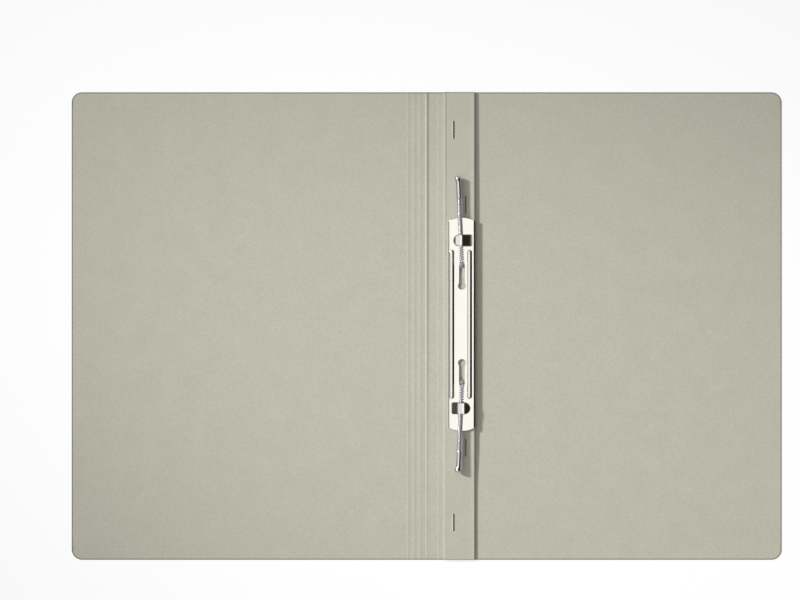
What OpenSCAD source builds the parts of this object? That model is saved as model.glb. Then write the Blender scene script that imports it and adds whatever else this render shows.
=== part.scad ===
// Card folder with a spring-prong fastener, lying open with its inside up.
// X runs across the covers, Y along the spine, Z up. The origin is under the middle of the open folder.

/* [Card] */
// Height of the covers, along the spine
cover_h = 319.5; // [300:0.5:340]
// Width of the front cover, from its free edge to the crease that it folds at
front_w = 243; // [225:0.1:255]
// Width of the back cover, from the pleat to its free edge
back_w = 231; // [220:0.1:245]
// Thickness of the card
card_t = 0.45; // [0.35:0.01:0.55]
// Radius of the covers' outer corners
corner_r = 7; // [2:0.5:15]

/* [Spine] */
// Width of the spine panel, between the front crease and the inner back crease
spine_w = 8.1; // [7:0.01:12]
// Width of the hinge panel, between the two back creases
hinge_w = 3.2; // [2.6:0.01:6]
// Number of spare creases on the front cover
spare_creases = 3; // [0:1:5]
// Distance from one spare crease to the next
crease_pitch = 4.4; // [3:0.01:6]
// Width of the bead that a crease raises on the inside
bead_w = 1.2; // [0.8:0.05:1.6]
// Height of that bead
bead_h = 0.2; // [0.1:0.01:0.3]
// Depth of the scored groove on the outside of a crease
score_d = 0.12; // [0.05:0.01:0.2]

/* [Fastener strip] */
// Width of the pleat that carries the fastener, from its root to its folded edge
strip_w = 21.2; // [19.6:0.1:26]
// Air under the pleat, over the back cover
strip_gap = 1.3; // [0.6:0.05:1.5]
// Outside radius of the folds at the pleat's root
root_r = 0.6; // [0.56:0.02:0.9]
// Length of a slit in the pleat
slit_l = 12; // [6:0.5:14]
// Width of a slit
slit_w = 1.1; // [0.8:0.1:2]
// Distance of the inner slits from the middle
inner_slit_y = 83; // [76:0.1:95]
// Distance of the inner slits from the root of the pleat
inner_slit_x = 14.9; // [9:0.1:16]
// Distance of the outer slits from the middle
outer_slit_y = 134; // [115:0.1:140]
// Distance of the outer slits from the root of the pleat
outer_slit_x = 6.9; // [5:0.1:15]

/* [Base rail and rivets] */
// Length of the rail inside the pleat
rail_l = 118; // [96:1:140]
// Width of the rail
rail_w = 12; // [9:0.5:14]
// Thickness of the rail
rail_t = 0.6; // [0.4:0.05:0.8]
// Diameter of the stud inside a spring's foot
stud_d = 1.6; // [1.2:0.05:1.8]
// Diameter of a rivet's head
rivet_head_d = 6; // [4:0.5:8]
// Thickness of a rivet's head
rivet_head_t = 0.3; // [0.2:0.05:0.4]

/* [Prongs] */
// Distance between the two prongs, as punched sheets have it
prong_spacing = 80; // [79:0.5:81]
// Distance of the prongs from the root of the pleat
prong_x = 12.3; // [11.5:0.1:13]
// How far the fastener's middle lies above the folder's middle
fastener_y = 1.2; // [-5:0.1:5]
// Length from a prong's hole to the end of its tip
prong_reach = 61; // [54:0.5:66]
// Angle that both prongs lean towards the spine
prong_lean = 2.4; // [0:0.1:4]
// Outer diameter of the spring
coil_d = 3.4; // [3:0.05:3.5]
// Diameter of the spring's wire
wire_d = 0.6; // [0.5:0.01:0.65]
// Gap between two turns of the spring
turn_gap = 0.44; // [0.42:0.01:0.6]
// Height of the spring's upright foot, over the rail
coil_stand = 0.8; // [0.7:0.05:1.2]

/* [Tips] */
// Length of a tip
tip_l = 15; // [10:0.5:17]
// Diameter of a tip where the spring meets it
tip_d = 3.6; // [3:0.1:4]
// Diameter of the bulb at a tip's end
bulb_d = 4.6; // [4:0.1:4.8]
// Diameter of the spigot that holds a tip in its spring
spigot_d = 1.6; // [1.2:0.05:1.8]
// Length of that spigot
spigot_l = 4; // [2:0.5:6]

/* [Cover bar] */
// Length of the bar
bar_l = 146; // [140:0.5:150]
// Width of the bar
bar_w = 18.4; // [16.8:0.1:18.8]
// Thickness of the sheet steel
bar_t = 0.5; // [0.4:0.02:0.6]
// Height of the bar's turned-down edges, under its plate
bar_drop = 0.95; // [0.6:0.05:1.2]
// Width of the round shoulders over those edges
shoulder_w = 1.4; // [0.8:0.05:1.6]
// Slope of a shoulder where it meets its edge
shoulder_slope = 45; // [40:1:80]
// Radius of the bar's round ends
bar_end_r = 18.6; // [10:0.1:30]
// Length of the pressed ribs
rib_l = 101.6; // [90:0.1:102]
// Width of a rib
rib_w = 3.2; // [2.4:0.1:3.6]
// Height of a rib
rib_h = 0.6; // [0.4:0.05:1]
// Distance between the two ribs
rib_spacing = 12.1; // [11:0.1:13]
// How far the ribs' middle lies from the bar's middle line, towards the spine
rib_off = 0.85; // [0:0.05:1]
// Distance between the keyholes' round ends
keyhole_spacing = 52.6; // [40:0.1:60]
// Diameter of a keyhole's round end
keyhole_d = 5.3; // [5:0.1:6]
// Width of a keyhole's slot
slot_w = 3.9; // [3.6:0.05:4.2]
// Distance between the two hooks
hook_spacing = 114.4; // [112:0.1:118]
// Length of a hook, across the bar
hook_l = 12.2; // [11:0.1:13.4]
// Width of a hook, along the bar
hook_w = 7; // [5:0.1:9]
// How far a hook lies from the bar's middle line, towards its root
hook_off = 0.9; // [0:0.1:1.2]
// Height of a hook's free end over the plate, to the middle of its sheet
hook_mouth = 2.3; // [1.5:0.1:2.6]

/* [Clearances] */
// Play between pieces that only rest on each other
seat_gap = 0.1; // [0.05:0.01:0.2]
// Play round a rivet's stud
stud_gap = 0.05; // [0.02:0.01:0.1]
// Play between a spring and what it passes through, under or over
coil_gap = 0.3; // [0.2:0.01:0.5]
// Play round a lanced hook in its window
lance_gap = 0.6; // [0.2:0.05:0.8]
// Gap at the two ends of a spring
end_gap = 0.03; // [0.01:0.01:0.05]

/* [Hidden] */

$fn = 64;
arc_steps = 12;

card_colour = "#B8B6A7";
steel_colour = "#8C8C90";
plate_colour = "#E4E2DC";
wire_colour = "#C4C4CC";

// Places across the folder, from its free left edge to its free right edge
open_w = front_w + spine_w + hinge_w + back_w;
left_x = -open_w / 2;
front_crease_x = left_x + front_w;
front_bead_x = front_crease_x - bead_w / 2;
inner_crease_x = front_crease_x + spine_w;
pleat_x = inner_crease_x + hinge_w;
fastener_x = pleat_x + prong_x;

// Heights, from the table up through the pleat and the bar
under_z = card_t + strip_gap;
rail_z = under_z + card_t;
rail_top = rail_z + rail_t;
strip_top = rail_top + card_t;
bar_z = strip_top + seat_gap;
plate_z = bar_z + bar_drop;
plate_top = plate_z + bar_t;
prong_z = plate_top + coil_gap + coil_d / 2;

// The spring's middle line: an upright foot, a quarter bend over the bar and a straight run to the tip
turn_r = (coil_d - wire_d) / 2;
foot_z = rail_top + end_gap;
bend_r = prong_z - foot_z - coil_stand;
bend_l = bend_r * PI / 2;
run_l = prong_reach - tip_l - bend_r - end_gap;
coil_l = coil_stand + bend_l + run_l;
turn_pitch = wire_d + turn_gap;
bend_pitch = turn_pitch * bend_r / (bend_r - turn_r);

// Turns in the foot, the bend and the run. The wire's ends are straight for one diameter.
foot_turns = (coil_stand - wire_d) / turn_pitch;
bend_turns = bend_l / bend_pitch;
run_turns = (run_l - wire_d) / turn_pitch;
all_turns = foot_turns + bend_turns + run_turns;
rings_per_turn = 8;
wire_sides = 6;
wound_rings = floor(all_turns * rings_per_turn);

function arc(centre, r, from, to) = [
    for (i = [0:arc_steps])
        let (a = from + (to - from) * i / arc_steps)
        centre + r * [cos(a), sin(a)]
];

// Radius of the circle that rises h over a chord of width w
function crown_r(w, h) = (h * h + w * w / 4) / (2 * h);

function unit(v) = v / norm(v);

// Elevation of the spring's middle line, in degrees, s along it from the foot
function rise_at(s) =
    s < coil_stand ? 90 :
    s < coil_stand + bend_l ? 90 - (s - coil_stand) / bend_r * 180 / PI :
    0;

// Point of the middle line, out from the hole and up from the table
function middle_at(s) =
    s < coil_stand ? [0, foot_z + s] :
    s < coil_stand + bend_l ?
        let (e = rise_at(s)) [bend_r * (1 - sin(e)), foot_z + coil_stand + bend_r * cos(e)] :
        [bend_r + s - coil_stand - bend_l, prong_z];

// Where along the middle line the wire has made a number of turns
function along_at(turns) =
    turns < foot_turns ? wire_d + turns * turn_pitch :
    turns < foot_turns + bend_turns ? coil_stand + (turns - foot_turns) * bend_pitch :
    coil_stand + bend_l + (turns - foot_turns - bend_turns) * turn_pitch;

// Point of the wire, s along the middle line and after a number of turns
function wire_at(s, turns, side) =
    let (
        e = rise_at(s),
        m = middle_at(s),
        a = 360 * turns * side,
        out = turn_r * sin(a)
    )
    [turn_r * cos(a), side * (m[0] - out * sin(e)), m[1] + out * cos(e)];

// The wire from its straight foot, round its turns, to its straight end
function wire_points(side) = concat(
    [wire_at(0, 0, side)],
    [
        for (i = [0:wound_rings])
            let (turns = all_turns * i / wound_rings)
            wire_at(along_at(turns), turns, side)
    ],
    [wire_at(coil_l, all_turns, side)]
);

// The directions out of the spring's middle line, one for each point of the wire
function wire_outs(side) = concat(
    [[1, 0, 0]],
    [
        for (i = [0:wound_rings])
            let (
                turns = all_turns * i / wound_rings,
                e = rise_at(along_at(turns)),
                a = 360 * turns * side
            )
            [cos(a), -side * sin(a) * sin(e), sin(a) * cos(e)]
    ],
    [let (a = 360 * all_turns * side) [cos(a), 0, sin(a)]]
);

// Least clear gap between points of the wire that lie about one turn apart
function least_gap(points) = min([
    for (i = [0:len(points) - rings_per_turn - 4])
        min([for (k = [rings_per_turn - 2:rings_per_turn + 2]) norm(points[i + k] - points[i])])
]) - wire_d;

module tube(points, outs) {
    last = len(points) - 1;
    rings = [
        for (i = [0:last])
            let (
                t = unit(points[min(i + 1, last)] - points[max(i - 1, 0)]),
                out = unit(outs[i] - t * (outs[i] * t)),
                across = cross(t, out)
            )
            for (k = [0:wire_sides - 1])
                let (a = 360 * k / wire_sides)
                points[i] + wire_d / 2 * (cos(a) * out + sin(a) * across)
    ];
    walls = [
        for (i = [0:last - 1])
            for (k = [0:wire_sides - 1])
                let (
                    a = i * wire_sides + k,
                    b = i * wire_sides + (k + 1) % wire_sides
                )
                each [[a, a + wire_sides, b], [b, a + wire_sides, b + wire_sides]]
    ];
    foot = [for (k = [1:wire_sides - 2]) [0, k, k + 1]];
    top = last * wire_sides;
    end = [for (k = [1:wire_sides - 2]) [top, top + k + 1, top + k]];
    polyhedron(points = rings, faces = concat(walls, foot, end));
}

// A prong's own place: its hole at the origin, turned to its lean, with side 1 up the page and -1 down it
module at_prong(side) {
    translate([fastener_x, fastener_y + side * prong_spacing / 2, 0])
        rotate([0, 0, side * prong_lean])
            children();
}

module at_each_prong() {
    for (side = [-1, 1])
        at_prong(side) children();
}

module bead(x) {
    r = crown_r(bead_w, bead_h);
    intersection() {
        translate([x, 0, card_t + bead_h - r])
            rotate([90, 0, 0])
                cylinder(r = r, h = cover_h, center = true);
        translate([x - bead_w / 2, -cover_h / 2, card_t - score_d])
            cube([bead_w, cover_h, bead_h + 2 * score_d]);
    }
}

module score(x) {
    translate([x, 0, 0])
        rotate([0, 45, 0])
            cube([score_d * sqrt(2), cover_h + 2, score_d * sqrt(2)], center = true);
}

// A sheet of card from x0 to x1
module sheet(x0, x1) {
    translate([x0, -cover_h / 2, 0])
        cube([x1 - x0, cover_h, card_t]);
}

// A cover from its crease at x0 to its free edge at x1, where its two corners are round
module cover(x0, x1) {
    way = sign(x1 - x0);
    linear_extrude(card_t)
        union() {
            translate([min(x0, x1 - way * corner_r), -cover_h / 2])
                square([abs(x1 - x0) - corner_r, cover_h]);
            translate([min(x1, x1 - way * corner_r), corner_r - cover_h / 2])
                square([corner_r, cover_h - 2 * corner_r]);
            for (y = [-1, 1])
                translate([x1 - way * corner_r, y * (cover_h / 2 - corner_r)])
                    circle(corner_r);
        }
}

module back_cover() {
    color(card_colour)
        cover(pleat_x, -left_x);
}

module hinge_panel() {
    color(card_colour)
        difference() {
            sheet(inner_crease_x, pleat_x);
            score(pleat_x);
        }
}

module spine_panel() {
    color(card_colour)
        difference() {
            union() {
                sheet(front_crease_x, inner_crease_x);
                bead(inner_crease_x - bead_w / 2);
            }
            score(inner_crease_x);
        }
}

module front_cover() {
    color(card_colour)
        difference() {
            union() {
                cover(front_crease_x, left_x);
                for (i = [0:1:spare_creases])
                    bead(front_bead_x - i * crease_pitch);
            }
            score(front_crease_x);
            for (i = [1:1:spare_creases])
                score(front_bead_x - i * crease_pitch);
        }
}

module slit(x, y) {
    translate([pleat_x + x, y, 0])
        linear_extrude(strip_top + card_t)
            union() {
                square([slit_w, slit_l - slit_w], center = true);
                for (end = [-1, 1])
                    translate([0, end * (slit_l - slit_w) / 2])
                        circle(d = slit_w);
            }
}

// Two layers of card, one over the other, joined by the fold at their right edge and turned down at their root
module fastener_strip() {
    fold_r = (strip_top - under_z) / 2;
    fold = [pleat_x + strip_w - fold_r, (strip_top + under_z) / 2];
    upper_x = pleat_x + seat_gap;
    lower_x = upper_x + card_t + seat_gap;
    upper = [upper_x + root_r, strip_top - root_r];
    lower = [lower_x + root_r, rail_z - root_r];
    profile = concat(
        [[upper_x, card_t]],
        arc(upper, root_r, 180, 90),
        arc(fold, fold_r, 90, -90),
        arc(lower, root_r - card_t, 90, 180),
        [[lower_x + card_t, card_t], [lower_x, card_t]],
        arc(lower, root_r, 180, 90),
        arc(fold, fold_r - card_t, -90, 90),
        arc(upper, root_r - card_t, 90, 180),
        [[upper_x + card_t, card_t]]
    );
    color(card_colour)
        difference() {
            rotate([90, 0, 0])
                linear_extrude(cover_h, center = true)
                    polygon(profile);
            for (y = [-1, 1]) {
                slit(inner_slit_x, y * inner_slit_y);
                slit(outer_slit_x, y * outer_slit_y);
            }
            at_each_prong() {
                translate([0, 0, rail_z + rail_t / 2])
                    cylinder(d = coil_d + 2 * coil_gap, h = rail_t + card_t);
                translate([0, 0, under_z - card_t])
                    cylinder(d = stud_d + 2 * stud_gap, h = 2 * card_t + rail_t / 2);
            }
        }
}

module base_rail() {
    color(steel_colour)
        difference() {
            translate([fastener_x - rail_w / 2, fastener_y - rail_l / 2, rail_z])
                cube([rail_w, rail_l, rail_t]);
            at_each_prong()
                translate([0, 0, rail_z - rail_t])
                    cylinder(d = stud_d + 2 * stud_gap, h = 3 * rail_t);
        }
}

// A head under the pleat and a stud up through the rail into the spring's foot
module rivet(side) {
    at_prong(side) {
        translate([0, 0, under_z - rivet_head_t])
            cylinder(d = rivet_head_d, h = rivet_head_t);
        translate([0, 0, under_z - rivet_head_t])
            cylinder(d = stud_d, h = foot_z + coil_stand - under_z + rivet_head_t);
    }
}

module upper_rivet() {
    color(steel_colour)
        rivet(1);
}

module lower_rivet() {
    color(steel_colour)
        rivet(-1);
}

module coil(side) {
    points = wire_points(side);
    echo(str("least gap of the spring to itself: ", least_gap(points), " mm, in ", all_turns, " turns"));
    at_prong(side)
        tube(points, wire_outs(side));
}

module upper_coil() {
    color(wire_colour)
        coil(1);
}

module lower_coil() {
    color(wire_colour)
        coil(-1);
}

// A ferrule turned from rod: a spigot in the spring, a shank that swells a little, and a round bulb
module tip(side) {
    bulb_r = bulb_d / 2;
    profile = concat(
        [[0, -spigot_l], [spigot_d / 2, -spigot_l], [spigot_d / 2, 0], [tip_d / 2, 0]],
        [[tip_d / 2, tip_l / 2]],
        arc([0, tip_l - bulb_r], bulb_r, 0, 90)
    );
    at_prong(side)
        translate([0, side * (prong_reach - tip_l), prong_z])
            rotate([-90 * side, 0, 0])
                rotate_extrude()
                    polygon(profile);
}

module upper_tip() {
    color(wire_colour)
        tip(1);
}

module lower_tip() {
    color(wire_colour)
        tip(-1);
}

// The bar's plan: straight long edges and round ends
module bar_plan() {
    intersection() {
        square([bar_w, bar_l], center = true);
        union() {
            square([bar_w, bar_l - 2 * bar_end_r], center = true);
            for (end = [-1, 1])
                translate([0, end * (bar_l / 2 - bar_end_r)])
                    circle(bar_end_r);
        }
    }
}

// The bar's cross-section: a plate with round shoulders, and its two long edges turned down
module bar_section() {
    half = bar_w / 2;
    shoulder_r = shoulder_w / sin(shoulder_slope);
    middle = [half - shoulder_w, plate_top - shoulder_r];
    right = arc(middle, shoulder_r, 90 - shoulder_slope, 90);
    inner = arc(middle, shoulder_r - bar_t, 90, acos((shoulder_w - bar_t) / (shoulder_r - bar_t)));
    polygon(concat(
        [[half, bar_z]],
        right,
        [for (i = [len(right) - 1:-1:0]) [-right[i][0], right[i][1]]],
        [[-half, bar_z], [bar_t - half, bar_z]],
        [for (i = [len(inner) - 1:-1:0]) [-inner[i][0], inner[i][1]]],
        inner,
        [[half - bar_t, bar_z]]
    ));
}

// A round-ended rod along Y, of radius r about the middle line of a rib
module rib_rod(x, r) {
    half = rib_l / 2 - rib_w / 2;
    translate([x, 0, plate_top + rib_h - crown_r(rib_w, rib_h)])
        rotate([90, 0, 0])
            rotate_extrude()
                polygon(concat(arc([0, -half], r, -90, 0), arc([0, half], r, 0, 90)));
}

// A keyhole's round end lets a tip through, and its slot holds the spring
module keyhole(side) {
    slot_end = prong_spacing / 2 + bend_r * (1 - cos(asin((plate_top - foot_z - coil_stand) / bend_r)));
    round_y = side * keyhole_spacing / 2;
    end_y = side * (slot_end + coil_gap);
    translate([0, 0, bar_z])
        linear_extrude(bar_drop + 2 * bar_t)
            union() {
                translate([0, round_y])
                    circle(d = keyhole_d);
                translate([-slot_w / 2, min(round_y, end_y)])
                    square([slot_w, abs(end_y - round_y)]);
                translate([0, end_y])
                    circle(d = slot_w);
            }
}

// A hook's plan, its root on the right and its round free end on the left
module hook_plan(gap) {
    w = hook_w + 2 * gap;
    free_x = hook_w / 2 - hook_l / 2;
    translate([free_x, -w / 2])
        square([hook_l / 2 - free_x, w]);
    translate([free_x, 0])
        circle(d = w);
}

// Point of the hook's middle line: it rises at 45 degrees from its root at u = 0, passes over the spring
// half way and comes down to its free end at u = 1
function hook_at(u) =
    let (
        peak = prong_z + coil_d / 2 + coil_gap + bar_t / 2,
        root = [hook_l / 2, plate_z + bar_t / 2],
        end = [-hook_l / 2, plate_top + hook_mouth],
        a = root + 3 / 8 * hook_l * [-1, 1],
        b = [-hook_l / 8, (8 * peak - root[1] - end[1]) / 3 - a[1]],
        v = 1 - u
    )
    v * v * v * root + 3 * v * v * u * a + 3 * v * u * u * b + u * u * u * end;

module hook(side) {
    steps = 2 * arc_steps;
    line = [for (i = [0:steps]) hook_at(i / steps)];
    across = [
        for (i = [0:steps])
            let (t = unit(line[min(i + 1, steps)] - line[max(i - 1, 0)]))
            bar_t / 2 * [-t[1], t[0]]
    ];
    profile = concat(
        [for (i = [0:steps]) line[i] + across[i]],
        [for (i = [steps:-1:0]) line[i] - across[i]]
    );
    rotate([0, 0, side > 0 ? 0 : 180])
        translate([hook_off, hook_spacing / 2, 0])
            intersection() {
                rotate([90, 0, 0])
                    linear_extrude(hook_w, center = true)
                        polygon(profile);
                linear_extrude(prong_z + coil_d + bar_t)
                    hook_plan(0);
            }
}

module hook_window(side) {
    root_x = hook_l / 2 - bar_t;
    rotate([0, 0, side > 0 ? 0 : 180])
        translate([hook_off, hook_spacing / 2, bar_z])
            intersection() {
                linear_extrude(bar_drop + 2 * bar_t)
                    hook_plan(lance_gap);
                translate([root_x - 2 * hook_l, -hook_l, 0])
                    cube([2 * hook_l, 2 * hook_l, bar_drop + 2 * bar_t]);
            }
}

module cover_bar() {
    rib_r = crown_r(rib_w, rib_h);
    color(plate_colour)
        translate([fastener_x, fastener_y, 0])
            union() {
                difference() {
                    union() {
                        intersection() {
                            rotate([90, 0, 0])
                                linear_extrude(bar_l, center = true)
                                    bar_section();
                            linear_extrude(plate_top + bar_t)
                                bar_plan();
                        }
                        for (x = [-1, 1])
                            intersection() {
                                rib_rod(x * rib_spacing / 2 - rib_off, rib_r);
                                translate([-bar_w / 2, -bar_l / 2, plate_z])
                                    cube([bar_w, bar_l, bar_t + 2 * rib_h]);
                            }
                    }
                    for (x = [-1, 1])
                        rib_rod(x * rib_spacing / 2 - rib_off, rib_r - bar_t);
                    for (side = [-1, 1]) {
                        keyhole(side);
                        hook_window(side);
                    }
                }
                for (side = [-1, 1])
                    hook(side);
            }
}

back_cover();
hinge_panel();
spine_panel();
front_cover();
fastener_strip();
base_rail();
upper_rivet();
lower_rivet();
upper_coil();
lower_coil();
upper_tip();
lower_tip();
cover_bar();
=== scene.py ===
import math

import bpy
import numpy as np
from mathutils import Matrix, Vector


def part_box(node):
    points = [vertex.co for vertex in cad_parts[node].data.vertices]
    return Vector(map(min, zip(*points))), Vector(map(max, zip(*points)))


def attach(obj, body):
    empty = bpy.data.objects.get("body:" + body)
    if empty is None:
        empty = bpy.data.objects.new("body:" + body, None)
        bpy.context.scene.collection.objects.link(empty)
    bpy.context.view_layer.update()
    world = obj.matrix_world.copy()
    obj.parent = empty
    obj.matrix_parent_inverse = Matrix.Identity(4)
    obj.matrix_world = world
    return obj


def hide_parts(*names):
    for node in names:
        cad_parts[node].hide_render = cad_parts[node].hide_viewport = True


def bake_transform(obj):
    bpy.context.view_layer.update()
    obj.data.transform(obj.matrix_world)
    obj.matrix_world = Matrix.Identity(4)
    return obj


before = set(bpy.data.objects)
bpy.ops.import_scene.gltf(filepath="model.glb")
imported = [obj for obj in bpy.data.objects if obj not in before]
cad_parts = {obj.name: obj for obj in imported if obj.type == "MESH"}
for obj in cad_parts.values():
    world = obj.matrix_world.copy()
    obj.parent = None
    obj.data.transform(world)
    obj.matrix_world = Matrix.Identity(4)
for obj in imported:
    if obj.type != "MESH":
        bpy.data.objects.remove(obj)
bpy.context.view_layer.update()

# Back cover. The right wing of the folder's one sheet of card, die-cut with two round corners.
# It lies on the table, and the rest of the sheet turns on it at the root of the pleat.
# All sizes are in millimetres, from the same origin as the solids.
card_t, corner_r, fold_w = 0.45, 7.0, 0.5
right_edge, half_height = (1000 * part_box("back_cover")[1][k] for k in (0, 1))
front_crease, inner_crease, pleat = (
    1000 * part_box(name)[1][0] for name in ("front_cover", "spine_panel", "hinge_panel")
)


def linear(code):
    """The linear colour of an sRGB hex code such as #B8B6A7, with alpha 1."""
    share = np.array([int(code[i:i + 2], 16) for i in (1, 3, 5)]) / 255
    bent = np.where(share <= 0.04045, share / 12.92, ((share + 0.055) / 1.055) ** 2.4)
    return (*bent, 1.0)


def add(tree, kind, values={}, links={}, **settings):
    """Adds a shader node with its settings, its inputs' values and its links from (node, output)."""
    made = tree.nodes.new("ShaderNode" + kind)
    for name, value in settings.items():
        setattr(made, name, value)
    for name, value in values.items():
        made.inputs[name].default_value = value
    for name, (source, output) in links.items():
        tree.links.new(source.outputs[output], made.inputs[name])
    return made


def finish_of(name):
    """A new material with an empty node tree."""
    made = bpy.data.materials.new(name)
    made.use_nodes = True
    made.node_tree.nodes.clear()
    return made, made.node_tree


def piece_of(name, points, faces, materials, sharp=40):
    """A mesh object from points in millimetres and faces, smooth but for edges sharper than that angle."""
    mesh = bpy.data.meshes.new(name)
    mesh.from_pydata((points.reshape(-1, 3) * 0.001).tolist(), [], [list(f) for f in faces])
    mesh.polygons.foreach_set("use_smooth", np.ones(len(mesh.polygons), bool))
    mesh.set_sharp_from_angle(angle=math.radians(sharp))
    made = bpy.data.objects.new(name, mesh)
    bpy.context.scene.collection.objects.link(made)
    for material in materials:
        mesh.materials.append(material)
    return made


def smooth(t):
    """A step from 0 to 1 that starts and ends level: 3 t squared less 2 t cubed."""
    t = np.clip(t, 0, 1)
    return t * t * (3 - 2 * t)


def in_order(*parts):
    """All the places in the given arrays, in order, each once, to 0.001 mm."""
    return np.unique(np.round(np.concatenate(parts), 3))


def sheet_faces(columns, rows):
    """Quads of a sheet: an upper grid of points, an under grid of as many, and the wall round both."""
    grid = np.arange(columns * rows).reshape(columns, rows)
    upper = np.stack([grid[:-1, :-1], grid[1:, :-1], grid[1:, 1:], grid[:-1, 1:]], -1).reshape(-1, 4)
    rim = np.concatenate([grid[:-1, 0], grid[-1, :-1], grid[:0:-1, -1], grid[0, :0:-1]])
    ahead = np.roll(rim, -1)
    wall = np.stack([rim, rim + grid.size, ahead + grid.size, ahead], -1)
    return np.concatenate([upper, upper[:, ::-1] + grid.size, wall])


def rows_of(marks=()):
    """Heights along the spine for a grid's rows: one each 8 mm, the marks, and closer ones at both ends."""
    close = half_height - np.array([0, 0.03, 0.1, 0.2, 0.4, 0.65, 1.0, 1.6])
    return in_order(-close, np.arange(-152, 153, 8.0), close, np.array(marks, float))


def rolled(depth, r=0.16):
    """How far a cut edge is rolled back, at a depth from the rim: a quarter circle of radius r."""
    return r - np.sqrt(r * r - np.clip(r - depth, 0, r) ** 2)


def paint_edge_shade(piece, inward, share=1.0):
    """Stores how much painted shade each point carries, as a dark line painted along the cut edge, from its
    way inward from that edge: the share up to 0.4 mm, then a smooth step down to none at 0.85 mm."""
    painted_shade_share = share * (1 - smooth((inward - 0.4) / 0.45))
    # The point attribute named rim holds this painted edge shade.
    rim = piece.data.attributes.new("rim", "FLOAT", "POINT")
    rim.data.foreach_set("value", painted_shade_share.ravel().astype(np.float32))


def flat_sheet(name, x, y, rise, groove, materials, edge=None):
    """A flat sheet of card with its columns at x and its rows at y. The upper face lies at the card's
    thickness plus rise, the under face at groove, and both roll over at the rim. At a free edge, the rows
    of the last 7 mm draw in to a quarter circle: half height less r, plus the root of r squared less
    (r - depth) squared."""
    depth = np.full_like(x, corner_r) if edge is None else np.clip(np.abs(edge - x), 0, corner_r)
    half = half_height - corner_r + np.sqrt(corner_r ** 2 - (corner_r - depth) ** 2)
    grid_x, share = np.meshgrid(x, y / half_height, indexing="ij")
    grid_y = share * half[:, None]
    inward = half_height - np.abs(grid_y)
    if edge is not None:
        from_edge = np.abs(edge - grid_x)
        out = np.hypot(np.clip(corner_r - from_edge, 0, None), np.clip(corner_r - inward, 0, None))
        inward = np.where(out > 0, np.minimum(corner_r - out, inward), inward)
        inward = np.minimum(inward, from_edge)
    inward = np.clip(inward, 0, None)
    back = rolled(inward)
    upper = np.stack([grid_x, grid_y, card_t + rise - back], -1)
    under = np.stack([grid_x, grid_y, groove[:, None] + back], -1)
    made = piece_of(name, np.concatenate([upper, under]), sheet_faces(len(x), len(y)), materials)
    # Every flat sheet carries the painted edge shade along its cut edges.
    paint_edge_shade(made, np.tile(inward, (2, 1)))
    return made


# Uncoated folder card, coloured in the pulp and calendered: matt, with short fibres that show as a fine
# fleck and a faint cloudiness. A dark line of painted shade is mixed into its colour along its cut edges.
# The fibres are about 0.1 mm wide, and are drawn at 1 mm to show.
card, tree = finish_of("uncoated_folder_card")
place = add(tree, "TexCoord")
fibre = add(tree, "TexNoise", {"Scale": 1000, "Detail": 3, "Roughness": 0.65}, {"Vector": (place, "Object")})
cloud = add(tree, "TexNoise", {"Scale": 60, "Detail": 2}, {"Vector": (place, "Object")})
fleck = add(tree, "Mix", {6: linear("#A5A394"), 7: linear("#CAC8B9")}, {0: (fibre, "Fac")}, data_type="RGBA")
shade = add(tree, "MapRange", {"From Min": 0.3, "From Max": 0.7, "To Max": 0.16}, {"Value": (cloud, "Fac")})
pulp = add(tree, "Mix", {7: linear("#A6A494")}, {0: (shade, "Result"), 6: (fleck, 2)}, data_type="RGBA")
# Painted shade: the rim attribute mixes a dark line into the card's colour along its cut edges.
rim = add(tree, "Attribute", attribute_name="rim")
cut = add(tree, "MapRange", {"To Max": 0.9}, {"Value": (rim, "Fac")})
card_with_painted_edge_shade = add(tree, "Mix", {7: linear("#5C5A50")}, {0: (cut, "Result"), 6: (pulp, 2)}, data_type="RGBA")
tooth = add(tree, "Bump", {"Strength": 0.35, "Distance": 0.00006}, {"Height": (fibre, "Fac")})
body = add(tree, "BsdfPrincipled", {"Roughness": 0.9, "Specular IOR Level": 0.2},
           {"Base Color": (card_with_painted_edge_shade, 2), "Normal": (tooth, "Normal")})
add(tree, "OutputMaterial", links={"Surface": (body, "BSDF")})

corner = corner_r * (1 - np.cos(np.radians(np.arange(0, 91, 5))))
x = in_order(pleat + fold_w + np.array([0, 0.5]), np.arange(16, 235, 8.0), right_edge - corner)
back_cover = flat_sheet("back_cover_card", x, rows_of(), 0.0, 0 * x, [card], edge=right_edge)
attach(back_cover, "back")
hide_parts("back_cover")

# Hinge panel and spine panel. Two narrow panels of the same sheet, between creases that were pressed in
# from the outside, so that each crease stands up as a bead on the inside and is a groove on the outside.
# Each panel runs on over the crease at its right.
groove_d = 0.12


def bead(x, top, left, right):
    """A crease's bead, of height 1: it rises to its top from the left, and falls off to the right."""
    return np.where(x < top, smooth((x - top + left) / left), smooth((top + right - x) / right))


def scored(x, crease):
    """The groove on the outside of a crease: a V as deep as groove_d."""
    return np.clip(groove_d - np.abs(x - crease), 0, None)


def ridges(x, y):
    """The ridges of the two outer creases. The front one grows from 0.12 mm high at the foot to 0.68 mm,
    with a dip of 0.05 mm beside it. The inner one is 0.11 mm high and falls off as far as the pleat."""
    grown = 0.12 + 0.56 * smooth((y + 150) / 270)
    dip = 0.05 * bead(x, front_crease - 1.4, left=1.2, right=0.5)
    inner = 0.11 * bead(x, inner_crease - 0.3, left=1.4, right=3.2)
    return grown * bead(x, front_crease - 0.6, left=0.8, right=2.2)[:, None] + (inner - dip)[:, None]


def across(crease):
    """Columns of a grid close to a crease."""
    left, groove, right = (-2.7, -0.15, 26), (-groove_d, groove_d, 5), (0.15, fold_w, 5)
    return crease + np.concatenate([np.linspace(*steps) for steps in (left, groove, right)])


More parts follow.
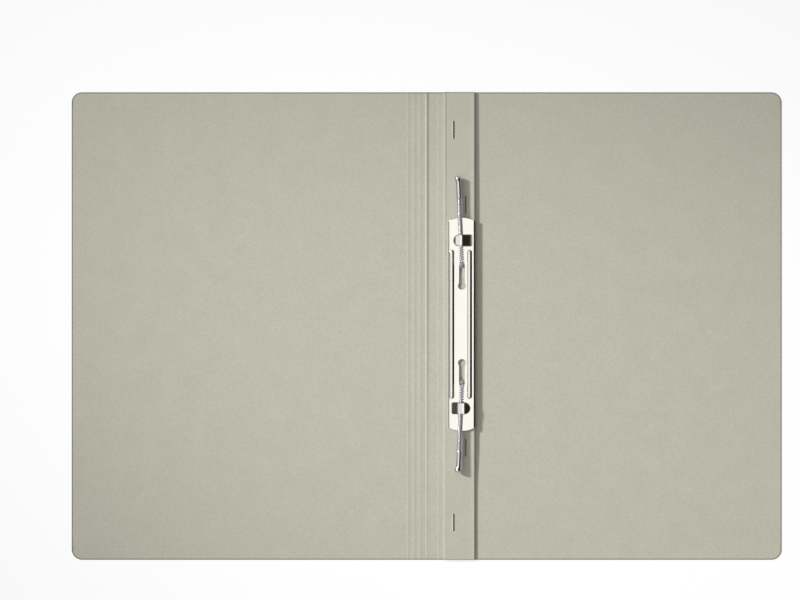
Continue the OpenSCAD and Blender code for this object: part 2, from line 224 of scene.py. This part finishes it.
for name, left, crease, turning, still in (
    ("hinge_panel", inner_crease, pleat, "hinge", "back"),
    ("spine_panel", front_crease, inner_crease, "spine", "hinge"),
):
    level = np.linspace(left + 2.0, crease - 2.1, 5)
    x = np.concatenate([left + np.linspace(fold_w, 1.8, 11), level, across(crease)])
    x = in_order(x[x >= left + fold_w])
    y = rows_of()
    panel = flat_sheet(name + "_card", x, y, ridges(x, y), scored(x, crease), [card])
    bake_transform(panel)
    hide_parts(name)

# Front cover. The left wing of the sheet, with three spare creases beside the one that it folds at, for a
# thicker file. Its fold stands higher towards the top, where it has been opened most.
# Its outside, which faces the table here, is printed with black ruled lines for a title and for notes.
left_edge = 1000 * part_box("front_cover")[0][0]
spare_creases, spare_h = front_crease - 4.75 - 4.2 * np.arange(3), 0.11
margin_x, margin_w, margin_from, margin_to = 21.7, 1.3, 8.6, 279.15
ruled_from, ruled_to, rule_w = 121.5, 221.7, 0.9
rules = np.array([63.9, 83.6, 234.0, 248.8, 263.9, 278.7])

# Offset printing ink, thin on card: near black, warm, and a little smoother than the card.
ink, tree = finish_of("black_offset_ink")
place = add(tree, "TexCoord")
speck = add(tree, "TexNoise", {"Scale": 1500, "Detail": 2}, {"Vector": (place, "Object")})
cover = add(tree, "Mix", {6: linear("#14120C"), 7: linear("#2A271D")}, {0: (speck, "Fac")}, data_type="RGBA")
body = add(tree, "BsdfPrincipled", {"Roughness": 0.6, "Specular IOR Level": 0.4}, {"Base Color": (cover, 2)})
add(tree, "OutputMaterial", links={"Surface": (body, "BSDF")})

printed = front_crease - np.array([margin_x - margin_w / 2, margin_x + margin_w / 2, ruled_from, ruled_to])
spare = [s + np.linspace(-1.5, 1.7, 25) for s in spare_creases]
x = in_order(left_edge + corner, np.arange(-228, -17, 8.0), printed, *spare, across(front_crease))
y = rows_of(half_height - np.concatenate([rules - rule_w / 2, rules + rule_w / 2, [margin_from, margin_to]]))
rise = ridges(x, y) + spare_h * sum(bead(x, s, left=1.3, right=1.6) for s in spare_creases)[:, None]
groove = scored(x, front_crease) + sum(scored(x, s) for s in spare_creases)
front_cover = flat_sheet("front_cover_card", x, y, rise, groove, [card, ink], edge=left_edge)

from_fold = front_crease - (x[:-1] + x[1:]) / 2
from_top = half_height - (y[:-1] + y[1:]) / 2
in_margin = np.abs(from_fold - margin_x) < margin_w / 2
in_rules = (from_fold > ruled_from) & (from_fold < ruled_to)
beside_text = (from_top > margin_from) & (from_top < margin_to)
on_rule = np.any(np.abs(from_top[:, None] - rules) < rule_w / 2, axis=1)
lined = in_margin[:, None] & beside_text | in_rules[:, None] & on_rule
slots = np.zeros(len(front_cover.data.polygons), np.int32)
slots[lined.size:2 * lined.size] = lined.ravel()
front_cover.data.polygons.foreach_set("material_index", slots)
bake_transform(front_cover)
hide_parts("front_cover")

# Fastener strip. A pleat of the sheet: it rises at its root, runs right, turns back under itself and comes
# down again, so that it is two layers of card with the base rail between them. Its ends lie lower than its
# middle, which the fastener lifts. Four slits are punched through it, each with its left lip pressed up.
strip_low, strip_high = (1000 * np.array(point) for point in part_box("fastener_strip"))
root_x, fold_x = strip_low[0], strip_high[0]
rail_h, root_r, root_step = 0.6, 0.6, 0.35
strip_top = strip_high[2]
upper_z = strip_top - card_t / 2
lower_z = upper_z - rail_h - card_t
fold_r = (upper_z - lower_z) / 2
slits = [(pleat + 6.9, 134.0), (pleat + 14.9, 83.0), (pleat + 14.9, -83.0), (pleat + 6.9, -134.0)]
slit_w, slit_l, lip_h = 1.1, 12.0, 0.4
prong_x, prong_y, hole_d, stud_hole_d = pleat + 12.3, (41.2, -38.8), 4.0, 1.7
lifted_to, top_fall, foot_fall, bulge_h = 74.0, 0.17, 0.38, 0.15


def arc(middle, r, start, end, steps=9):
    """Points on a circle, from one angle to another, in degrees."""
    a = np.radians(np.linspace(start, end, steps))
    return np.array(middle) + r * np.stack([np.cos(a), np.sin(a)], -1)


def line(start, end, places):
    """Points between two points, at shares of the way."""
    share = np.asarray(places, float)[:, None]
    return np.array(start) * (1 - share) + np.array(end) * share


# The card's middle line in section: up at the root, along the top, round the free fold, back below it and
# down again. Both roots step a little to the right at their feet.
bend = root_r - card_t / 2
upper_x, lower_x = root_x + card_t / 2, root_x + card_t * 1.5 + 0.1
flat_from, flat_to = upper_x + bend, fold_x - card_t / 2 - fold_r
near_slits = np.concatenate([s + np.linspace(-2.6, 0.9, 36) for s in (slits[0][0], slits[1][0])])
near_root = flat_from + np.linspace(0.1, 1.6, 12)
flat = in_order(np.linspace(flat_from + 0.1, flat_to - 0.1, 16), near_root, near_slits)
middle = np.concatenate([
    line((upper_x, card_t + 0.02), (upper_x, upper_z - bend - 0.05), np.linspace(0, 1, 5)),
    arc((flat_from, upper_z - bend), bend, 180, 90),
    np.stack([flat, np.full_like(flat, upper_z)], -1),
    arc((flat_to, upper_z - fold_r), fold_r, 90, -90, 15),
    line((flat_to - 0.2, lower_z), (lower_x + bend + 0.1, lower_z), np.linspace(0, 1, 12)),
    arc((lower_x + bend, lower_z - bend), bend, 90, 180),
    line((lower_x, lower_z - bend - 0.05), (lower_x, card_t + 0.02), np.linspace(0, 1, 4)),
])
middle[:, 0] += root_step * smooth((lower_z - 0.2 - middle[:, 1]) / (lower_z - 0.2 - card_t))
along = np.gradient(middle, axis=0)
along /= np.linalg.norm(along, axis=1, keepdims=True)
out_x, out_z = -along[:, 1, None], along[:, 0, None]

# Its height along the spine: less at the two ends, and more at the slits' left lips, at the free fold, and
# at the edge over the root, most of all towards the top.
slit_ends = np.concatenate([np.linspace(-7.4, -5.2, 8), np.linspace(5.2, 7.4, 8)])
y = rows_of(np.concatenate([y0 + slit_ends for x0, y0 in slits]))
sag = 1 - top_fall * smooth((y - lifted_to) / 90) - foot_fall * smooth((-y - lifted_to) / 42)
height = card_t + (middle[:, 1, None] - card_t) * sag
on_top = np.abs(middle[:, 1] - upper_z) < 1e-6
lip = sum(
    (on_top * bead(middle[:, 0], x0 - slit_w / 2, left=0.9, right=0.3))[:, None]
    * (1 - smooth((np.abs(y - y0) - slit_l / 2 + 0.4) / 1.0))
    for x0, y0 in slits
)
first_half = np.arange(len(middle)) <= np.flatnonzero(on_top)[-1]
risen = first_half * smooth((middle[:, 1] - card_t) / (upper_z - card_t))
risen = risen * (1 - smooth((middle[:, 0] - flat_from) / 1.5))
root_rise = 0.05 + 0.22 * smooth((y - 10) / 140)
bulge = smooth((middle[:, 0] - flat_to + 1.6) / 1.6) * smooth((middle[:, 1] - lower_z) / (upper_z - lower_z))
height = height + bulge_h * bulge[:, None] + lip_h * lip + risen[:, None] * root_rise
thick = card_t / 2 - rolled(half_height - np.abs(y))
grid_x = np.broadcast_to(middle[:, 0, None], height.shape)
grid_y = np.broadcast_to(y, height.shape)
surface = [
    np.stack([grid_x + way * thick * out_x, grid_y, height + way * thick * out_z], -1) for way in (1, -1)
]

# Each face is halved, because only triangles stay flat where the card bends, and the punches need that.
quads = sheet_faces(len(middle), len(y))
halves = np.concatenate([quads[:, :3], quads[:, [0, 2, 3]]])
strip = piece_of("fastener_strip_card", np.concatenate(surface), halves, [card])


def prism(plan, low, high):
    """Points and faces of an upright prism on a plan that runs anticlockwise."""
    count = len(plan)
    ring = np.arange(count)
    points = np.concatenate([np.column_stack([plan, np.full(count, z)]) for z in (low, high)])
    walls = np.stack([ring, np.roll(ring, -1), np.roll(ring, -1) + count, ring + count], -1)
    return points, [*walls.tolist(), ring[::-1].tolist(), (ring + count).tolist()]


def press(piece, tools):
    """Cuts each tool out of a piece, or joins it to the piece, and takes the tools away."""
    for way, tool in tools:
        step = piece.modifiers.new("pressed", "BOOLEAN")
        step.object, step.operation, step.solver = tool, way, "EXACT"
    pressed_mesh = bpy.data.meshes.new_from_object(
        piece.evaluated_get(bpy.context.evaluated_depsgraph_get())
    )
    piece.modifiers.clear()
    piece.data = pressed_mesh
    for way, tool in tools:
        bpy.data.objects.remove(tool)


cut_low, cut_high, between = 0.2, 5.0, (upper_z + lower_z) / 2
slit_y = (slit_l - slit_w) / 2
cuts = []
for x0, y0 in slits:
    foot = arc((x0, y0 - slit_y), slit_w / 2, 180, 360, 12)
    head = arc((x0, y0 + slit_y), slit_w / 2, 0, 180, 12)
    cuts.append(prism(np.concatenate([foot, head]), cut_low, cut_high))
for y0 in prong_y:
    cuts.append(prism(arc((prong_x, y0), hole_d / 2, 0, 350, 36), between, cut_high))
    cuts.append(prism(arc((prong_x, y0), stud_hole_d / 2, 0, 345, 24), cut_low, between - 0.1))
press(strip, [("DIFFERENCE", piece_of("punch", *cut, [])) for cut in cuts])
places = np.zeros(3 * len(strip.data.vertices))
strip.data.vertices.foreach_get("co", places)
# The strip gets a lighter share of the same painted edge shade.
paint_edge_shade(strip, half_height - np.abs(places[1::3]) * 1000, share=0.6)
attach(strip, "strip")
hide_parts("fastener_strip")

# Base rail and rivets. A strip of cold-rolled steel inside the pleat, and two rivets with flat heads under
# the pleat, whose studs go up through the rail and hold the springs' feet.


def metal_of(name, grain, tones, roughness):
    """A bare or plated metal. One noise, stretched by grain, sets both its tone and its roughness."""
    made, tree = finish_of(name)
    place = add(tree, "TexCoord")
    stretch = add(tree, "Mapping", {"Scale": grain}, {"Vector": (place, "Object")})
    marks = add(tree, "TexNoise", {"Scale": 1.0, "Detail": 2}, {"Vector": (stretch, "Vector")})
    dull, bright = (linear(code) for code in tones)
    tone = add(tree, "Mix", {6: dull, 7: bright}, {0: (marks, "Fac")}, data_type="RGBA")
    least, most = roughness
    rough = add(tree, "MapRange", {"To Min": least, "To Max": most}, {"Value": (marks, "Fac")})
    body = add(tree, "BsdfPrincipled", {"Metallic": 1.0},
               {"Base Color": (tone, 2), "Roughness": (rough, "Result")})
    add(tree, "OutputMaterial", links={"Surface": (body, "BSDF")})
    return made


# Cold-rolled steel, left bare: a satin grey, with faint streaks along the rail where the rolls have run.
steel = metal_of("cold_rolled_steel", (2500, 60, 2500), ("#8E8E90", "#A8A8AA"), (0.28, 0.42))
for name in ("base_rail", "upper_rivet", "lower_rivet"):
    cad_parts[name].data.materials.clear()
    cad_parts[name].data.materials.append(steel)

# Spring prongs. Each is spring wire wound close into a thin hose, which stands up through the pleat and a
# keyhole of the bar, bends over and runs along the bar, under its hook. The turns stand open at the bend.
# The wire is bright nickel plated, so that the close turns look like one smooth rod from a little way off.
coil_d, wire_d = 3.4, 0.8
lean = math.radians(2.4)
foot_z = strip_top - card_t + 0.03
prong_z = 1000 * (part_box("upper_tip")[0][2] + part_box("upper_tip")[1][2]) / 2
stand, reach, tip_l = 0.8, 61.0, 15.0
bend_r = prong_z - foot_z - stand
bend_l = bend_r * math.pi / 2
coil_l = stand + bend_l + reach - tip_l - bend_r - 0.03
close_pitch, open_pitch, open_l, ease_l = 0.84, 1.7, 8.0, 4.5

# Nickel plate on drawn wire: a bright, faintly violet mirror, whose lights the drawing marks spread a little.
nickel_tones, nickel_grain = ("#CFCDD4", "#DEDCE2"), (900, 900, 900)
wire_plate = metal_of("nickel_plated_spring_wire", nickel_grain, nickel_tones, (0.16, 0.26))


def placed(out, side_x, up, side):
    """A prong's own points (out from its hole, across it, and up) leaned and moved to its hole."""
    c, s = math.cos(lean), math.sin(lean)
    y0 = prong_y[0] if side > 0 else prong_y[1]
    return np.stack([prong_x + side_x * c - out * s, y0 + side * (out * c + side_x * s), up], -1)


def ring_faces(rings, sides):
    """Quads of a closed hose of rings, and a face on each of its ends."""
    ring = np.arange(rings * sides).reshape(rings, sides)
    ahead = np.roll(ring, -1, axis=1)
    walls = np.stack([ring[:-1], ahead[:-1], ahead[1:], ring[1:]], -1).reshape(-1, 4)
    return [*walls.tolist(), ring[0, ::-1].tolist(), ring[-1].tolist()]


def spring(side):
    """A wire that winds round the prong's middle line. The middle line goes up, round a quarter circle and
    straight on. The number of turns is the sum of each step over the pitch there, and the wire is a hose
    of ten sides about its own line, with 18 rings to a turn."""
    s = np.linspace(0, coil_l, 2200)
    pitch = close_pitch + (open_pitch - close_pitch) * (1 - smooth((s - stand - bend_l - open_l) / ease_l))
    turns = np.concatenate([[0], np.cumsum(np.diff(s) / ((pitch[1:] + pitch[:-1]) / 2))])
    even = np.linspace(0, turns[-1], int(turns[-1] * 18))
    s = np.interp(even, turns, s)
    a = 2 * np.pi * even * side
    up = np.pi / 2 - np.clip((s - stand) / bend_r, 0, np.pi / 2)
    out = np.where(s < stand, 0, bend_r * (1 - np.sin(up)) + np.clip(s - stand - bend_l, 0, None))
    z = foot_z + np.minimum(s, stand) + bend_r * np.cos(up)
    r = (coil_d - wire_d) / 2
    wire = placed(out - r * np.sin(a) * np.sin(up), r * np.cos(a), z + r * np.sin(a) * np.cos(up), side)
    ahead = np.gradient(wire, axis=0)
    ahead /= np.linalg.norm(ahead, axis=1, keepdims=True)
    centre = placed(out, 0 * out, z, side)
    away = wire - centre
    away -= ahead * np.sum(away * ahead, axis=1, keepdims=True)
    away /= np.linalg.norm(away, axis=1, keepdims=True)
    beside = np.cross(ahead, away)
    t = np.radians(np.arange(0, 360, 36))[:, None]
    hose = wire[:, None] + wire_d / 2 * (np.cos(t) * away[:, None] + np.sin(t) * beside[:, None])
    return hose, ring_faces(len(wire), len(t))


for name, side in (("upper", 1), ("lower", -1)):
    coil = piece_of(name + "_spring_wire", *spring(side), [wire_plate], sharp=60)
    foot = placed(0.0, 0.0, foot_z + stand, side)
    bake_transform(coil)
    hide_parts(name + "_coil")

# Tips. A smooth ferrule turned from rod closes the free end of each spring: its spigot sits in the spring,
# its shank swells a little, and its end is a round bulb that stands a little towards the spine.
# The outline below gives the way along the tip and the radius there.
tip_line = np.array([
    (-4.0, 0.8), (-0.2, 0.8), (0.0, 1.2), (0.0, 1.65), (0.12, 1.75), (1.0, 1.78),
    (4.0, 1.8), (8.0, 1.82), (10.5, 1.85), (11.6, 1.92), (12.3, 2.1), (12.8, 2.25),
    (13.3, 2.3), (13.9, 2.22), (14.4, 1.94), (14.75, 1.47), (14.95, 0.8), (15.0, 0.3),
])
bulb_off = 0.35

# The same nickel plate on turned rod, which is smoother than the wire and mirrors more sharply.
rod_plate = metal_of("bright_nickel_plate", nickel_grain, nickel_tones, (0.1, 0.2))


def ferrule(side):
    """The tip's outline carried round the prong's line, with the bulb's middle moved to the spine."""
    step = np.linspace(0, len(tip_line) - 1, 3 * len(tip_line) - 2)
    s, r = (np.interp(step, np.arange(len(tip_line)), tip_line[:, k])[:, None] for k in (0, 1))
    a = np.radians(np.arange(0, 360, 10))
    side_x = r * np.cos(a) - bulb_off * smooth((s - 10.5) / 2.5)
    out = np.broadcast_to(reach - tip_l + s, side_x.shape)
    return placed(out, side_x, prong_z - side * r * np.sin(a), side), ring_faces(*side_x.shape)


for name, side in (("upper", 1), ("lower", -1)):
    tip = piece_of(name + "_ferrule", *ferrule(side), [rod_plate])
    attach(tip, name + "_prong")
    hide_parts(name + "_tip")

# Cover bar. Pressed from sheet steel and nickel plated: its long edges are turned down, two ribs stiffen it,
# two keyholes let the prongs through, and two tongues are lanced up as hooks that hold the bent prongs down.
bar_low, bar_high = (1000 * np.array(point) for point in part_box("cover_bar"))
bar_x, bar_y = (bar_low[:2] + bar_high[:2]) / 2
bar_half, bar_end, bar_end_r, sheet_t = bar_high[0] - bar_x, bar_high[1] - bar_y, 18.6, 0.5
bar_top = bar_low[2] + 1.45
shoulder_w, shoulder_turn = 1.4, 45
shoulder_r = shoulder_w / math.sin(math.radians(shoulder_turn))
ribs, rib_w, rib_h, rib_l = (-6.9, 5.2), 3.2, 0.6, 101.6
rib_r = (rib_h ** 2 + rib_w ** 2 / 4) / (2 * rib_h)
hook_l, hook_w, hook_off, hook_y, hook_mouth, hook_play = 12.2, 7.0, 0.9, 57.2, 2.7, 0.3
key_slot_y, key_slot_r, key_hole_y, key_hole_r = 40.52, 1.95, 26.3, 2.65

# Nickel plate on polished sheet: a warm, nearly white mirror, with faint streaks along the bar.
plate = metal_of("nickel_plated_sheet_steel", (3000, 120, 3000), ("#E2DFD6", "#EAE7DE"), (0.10, 0.18))


def pressed(x, y, base, r):
    """The height of the sheet where the ribs are pressed up: the higher of the base and of a round-ended rod
    of radius r under each rib, with the corner between the two eased over about 0.1 mm."""
    beyond = np.clip(np.abs(y) - (rib_l - rib_w) / 2, 0, None)
    for middle in ribs:
        rod = np.sqrt(np.clip(r ** 2 - (x - middle) ** 2 - beyond ** 2, 0, None)) + rib_h - rib_r
        over = bar_top + rod - base
        base = base + (over + np.sqrt(over ** 2 + 0.05 ** 2)) / 2
    return base


def bar_sheet():
    """The bar's upper and under faces: a profile of wall, shoulder, plate, shoulder and wall, carried along
    the bar to its round ends, which are rolled over by the sheet's thickness. A column's half length is the
    end's middle plus the root of r squared less x squared."""
    flat = in_order(np.arange(-7, 8, 1.0), *(rib + np.linspace(-1.8, 1.8, 37) for rib in ribs))
    flat = flat[np.abs(flat) < bar_half - shoulder_w - 0.05]
    middle = (bar_half - shoulder_w, bar_top - shoulder_r)
    inner_r = shoulder_r - sheet_t
    inner_turn = math.degrees(math.acos((shoulder_w - sheet_t) / inner_r))
    sides = []
    for edge, r, turn in ((bar_half, shoulder_r, shoulder_turn), (bar_half - sheet_t, inner_r, inner_turn)):
        round_over = arc(middle, r, 90, turn, 24)
        wall = line((edge, round_over[-1, 1]), (edge, bar_low[2]), (0.02, 0.5, 1))
        right = np.concatenate([round_over, wall])
        level = np.stack([flat, np.full_like(flat, middle[1] + r)], -1)
        sides.append(np.concatenate([right[::-1] * (-1, 1), level, right]))
    rolled_end = bar_end - np.array([0, 0.02, 0.06, 0.12, 0.2, 0.3, 0.4, 0.5, 1.0, 2.0])
    near_ends = np.concatenate([np.linspace(48.0, 53.6, 45), rolled_end])
    rows = in_order(-near_ends, np.arange(-68, 69, 4.0), near_ends) / bar_end
    faces = []
    for profile, r in zip(sides, (rib_r, rib_r - sheet_t)):
        half = bar_end - bar_end_r + np.sqrt(bar_end_r ** 2 - profile[:, 0] ** 2)
        y = half[:, None] * rows
        x = np.broadcast_to(profile[:, 0, None], y.shape)
        z = profile[:, 1, None] - rolled(half[:, None] - np.abs(y), sheet_t)
        on_plate = np.abs(profile[:, 0, None]) < bar_half - sheet_t - 0.05
        faces.append(np.stack([x, y, np.where(on_plate, pressed(x, y, z, r), z)], -1))
    return np.concatenate(faces), sheet_faces(len(sides[0]), len(rows))


def hook():
    """A hook: a cubic curve that leaves the plate at 45 degrees, passes over the spring and comes down to a
    free end, as a strip whose half width at its round end is the root of r squared less the square of the
    way past the end's middle."""
    over = prong_z + coil_d / 2 + hook_play + sheet_t / 2
    root = np.array((hook_l / 2, bar_top - sheet_t / 2))
    end = np.array((-hook_l / 2, bar_top + hook_mouth))
    near = root + 3 / 8 * hook_l * np.array((-1, 1))
    far = np.array((-hook_l / 8, (8 * over - root[1] - end[1]) / 3 - near[1]))
    r = hook_w / 2
    u = np.linspace(0, 1, 400)[:, None]
    curve = (1 - u) ** 3 * root + 3 * (1 - u) ** 2 * u * near + 3 * (1 - u) * u * u * far + u ** 3 * end
    round_from = r - hook_l / 2
    round_end = round_from - r * np.cos(np.radians(np.linspace(2, 90, 16)))
    x = np.concatenate([round_end, np.linspace(round_from + 0.3, hook_l / 2, 30)])
    z = np.interp(x, curve[::-1, 0], curve[::-1, 1])
    slope = np.gradient(z, x)
    up = np.stack([-slope, np.ones_like(slope)], -1) / np.hypot(slope, 1)[:, None] * sheet_t / 2
    half = np.sqrt(np.clip(r ** 2 - np.clip(round_from - x, 0, None) ** 2, 0, None))
    y = half[:, None] * np.linspace(-1, 1, 9)
    faces = [
        np.stack(np.broadcast_arrays((x + way * up[:, 0])[:, None], y, (z + way * up[:, 1])[:, None]), -1)
        for way in (1, -1)
    ]
    return np.concatenate(faces), sheet_faces(*y.shape)


def key_plan():
    """A keyhole's plan: a slot with a round end, which opens into a round hole."""
    meet = math.degrees(math.acos(key_slot_r / key_hole_r))
    slot_end = arc((0, key_slot_y), key_slot_r, 0, 180, 19)
    return np.concatenate([slot_end, arc((0, key_hole_y), key_hole_r, 180 - meet, 360 + meet, 37)])


def window_plan(gap=0.6):
    """The window that a hook was lanced from: the hook's plan with play round it, open to the hook's root."""
    r = hook_w / 2 + gap
    right = hook_l / 2 - sheet_t
    round_end = arc((hook_w / 2 - hook_l / 2, 0), r, 90, 270, 25)
    return np.concatenate([[(right, -r), (right, r)], round_end]) + (hook_off, hook_y)


def turned(points, side):
    """Points of the bar's upper half, or of its lower half, which is the same turned round its middle."""
    return points.reshape(-1, points.shape[-1]) * np.array((side, side, 1))[:points.shape[-1]]


to_place = np.array((bar_x, bar_y, 0))
points, faces = bar_sheet()
bar = piece_of("plated_bar", points.reshape(-1, 3) + to_place, faces, [plate])
tongue, tongue_faces = hook()
tools = []
for side in (1, -1):
    for plan in (key_plan(), window_plan()):
        points, faces = prism(turned(plan, side), bar_low[2] - 0.5, bar_top + 0.4)
        tools.append(("DIFFERENCE", piece_of("punch", points + to_place, faces, [])))
for side in (1, -1):
    points = turned(tongue + (hook_off, hook_y, 0), side)
    tools.append(("UNION", piece_of("tongue", points + to_place, tongue_faces, [plate])))
press(bar, tools)
bar.data.polygons.foreach_set("use_smooth", np.ones(len(bar.data.polygons), bool))
bar.data.set_sharp_from_angle(angle=math.radians(30))
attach(bar, "bar")
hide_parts("cover_bar")

# The table, the light and the camera. A white table; a key light from the upper left, low enough to show
# the creases; a bright ceiling straight above, which the plated bar mirrors; and a darker right side.
span, table_gap = 20000.0, 0.05

# White matt table top. Most of its white is its own, to the eye and in metal, and the rest takes the shadow.
white, tree = finish_of("white_table_top")
body = add(tree, "BsdfDiffuse", {"Color": linear("#FDFDFD")})
ray = add(tree, "LightPath")
seen = add(tree, "Math", links={0: (ray, "Is Camera Ray"), 1: (ray, "Is Glossy Ray")}, operation="MAXIMUM")
seen = add(tree, "Math", links={0: (seen, 0), 1: (ray, "Is Transmission Ray")}, operation="MAXIMUM")
share = add(tree, "Math", {1: 0.8}, {0: (seen, 0)}, operation="MULTIPLY")
glow = add(tree, "Emission", {"Color": (1, 1, 1, 1), "Strength": 1.0})
both = add(tree, "MixShader", links={0: (share, 0), 1: (body, "BSDF"), 2: (glow, "Emission")})
add(tree, "OutputMaterial", links={"Surface": (both, "Shader")})
table_plan = span * np.array([(-1, -1), (1, -1), (1, 1), (-1, 1)])
table_points = np.column_stack([table_plan, np.full(4, -table_gap)])
table = piece_of("table", table_points, [(0, 1, 2, 3)], [white])

key = bpy.data.objects.new("key_light", bpy.data.lights.new("key_light", "SPOT"))
key_level, key_far, key_aim = 0.525, 3.0, Vector((0.13, -0.09, 0))
elevation, heading = math.radians(33), math.radians(-25)
travel = Vector((
    math.cos(elevation) * math.cos(heading),
    math.cos(elevation) * math.sin(heading),
    -math.sin(elevation),
))
key.rotation_euler = travel.to_track_quat("-Z", "Y").to_euler()
key.location = key_aim - key_far * travel
key.data.energy = key_level * math.pi / math.sin(elevation) * 4 * math.pi * key_far ** 2
key.data.shadow_soft_size = key_far * math.tan(math.radians(3))
key.data.spot_size = math.radians(16)
key.data.spot_blend = 1.0
bpy.context.scene.collection.objects.link(key)

# The room: bright at the left but for its foot, dark at the right, half bright beyond the bar's two ends,
# and brightest overhead, so that round metal shows dark and light sides.
room = bpy.data.worlds.new("studio")
room.use_nodes = True
tree = room.node_tree
tree.nodes.clear()
place = add(tree, "TexCoord")
way = add(tree, "SeparateXYZ", links={"Vector": (place, "Generated")})
left = add(tree, "MapRange", {"From Min": 0.42, "From Max": 0.5, "To Min": 0.06, "To Max": 0.92},
           {"Value": (way, "Z")}, interpolation_type="SMOOTHSTEP")
sides = add(tree, "MapRange", {"From Min": -0.25, "From Max": 0.25, "To Max": 0.02},
            {"Value": (way, "X"), "To Min": (left, "Result")}, interpolation_type="SMOOTHSTEP")
along = add(tree, "Math", links={0: (way, "Y")}, operation="ABSOLUTE")
ends = add(tree, "MapRange", {"From Min": 0.35, "From Max": 0.65, "To Max": 0.5},
           {"Value": (along, 0)}, interpolation_type="SMOOTHSTEP")
walls = add(tree, "Math", links={0: (sides, "Result"), 1: (ends, "Result")}, operation="MAXIMUM")
ceiling = add(tree, "MapRange", {"From Min": 0.955, "From Max": 0.975},
              {"Value": (way, "Z")}, interpolation_type="SMOOTHSTEP")
level = add(tree, "Mix", {3: 1.25}, {0: (ceiling, "Result"), 2: (walls, 0)}, data_type="FLOAT")
sky = add(tree, "Background", {"Color": (1, 1, 1, 1)}, {"Strength": (level, 0)})
add(tree, "OutputWorld", links={"Surface": (sky, "Background")})
bpy.context.scene.world = room

camera = bpy.data.objects.new("camera", bpy.data.cameras.new("camera"))
camera_h, seen_w, sensor_w = 1.6, 0.547, 36.0
camera.location = (-0.01825, 0.0178, camera_h)
camera.data.sensor_width = sensor_w
camera.data.lens = sensor_w * camera_h / seen_w
camera.data.clip_start, camera.data.clip_end = 0.05, 100.0
bpy.context.scene.collection.objects.link(camera)
bpy.context.scene.camera = camera
bpy.context.scene.view_settings.view_transform = "Standard"
